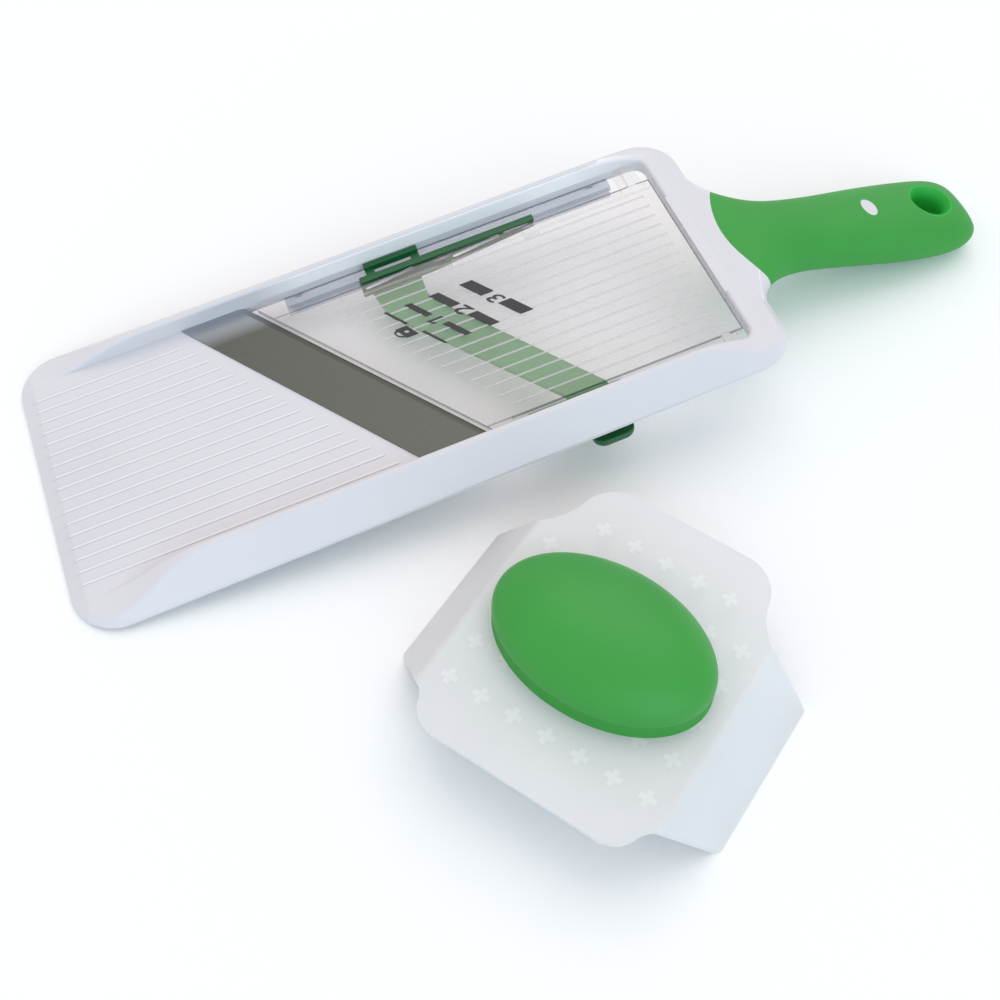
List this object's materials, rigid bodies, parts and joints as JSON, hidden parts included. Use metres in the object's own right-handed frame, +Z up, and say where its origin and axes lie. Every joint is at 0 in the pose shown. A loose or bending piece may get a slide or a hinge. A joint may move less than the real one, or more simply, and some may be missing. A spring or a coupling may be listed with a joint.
{
  "type": "mandoline slicer",
  "caption": "Hand-held mandoline slicer: white frame with skewed steel blade, clear height-adjusted feed plate, green slider, soft green handle and a loose food guard with oval knob.",
  "frame": {"origin": "centre of the bounding box in plan, on the table plane", "axes": "+Z up from the table, +X from the open end towards the handle, +Y across the slicer away from the loose guard"},
  "size_m": [0.3798, 0.2671, 0.0472],
  "materials": {
    "frame_white": "satin moulded white plastic",
    "grip_green": "matt soft-touch green sleeve",
    "blade_steel": "satin ground stainless steel",
    "plate_clear": "clear moulded plastic",
    "guide_clear": "clear moulded plastic",
    "slider_green": "glossy dark green plastic",
    "guard_clear": "frosted translucent plastic",
    "knob_green": "satin green plastic",
    "screw_steel": "bright zinc-plated steel"
  },
  "bodies": {
    "frame": {"body_frame": "frame_white", "handle_grip": "grip_green", "blade": "blade_steel", "slider_guide_far": "guide_clear", "slider_guide_near": "guide_clear", "guide_screws": "screw_steel"},
    "plate": {"feed_plate": "plate_clear"},
    "slider": {"thickness_slider": "slider_green"},
    "guard": {"guard_plate": "guard_clear", "knob_base": "knob_green", "knob_cap": "knob_green", "knob_screws": "screw_steel"}
  },
  "joints": [
    {"name": "slider_slide", "type": "slide", "parent": "frame", "child": "slider", "axis": [0.9929, 0, 0.1193], "range_m": [0, 0.03]},
    {"name": "plate_drop", "type": "slide", "parent": "frame", "child": "plate", "axis": [0.1193, 0, -0.9929], "range_m": [0, 0.0032]},
    {"name": "guard_lift", "type": "slide", "parent": "frame", "child": "guard", "axis": [0, 0, 1], "range_m": [0, 0.12]}
  ],
  "couplings": [
    {"joint": "plate_drop", "follows": "slider_slide", "ratio": 0.10667}
  ]
}
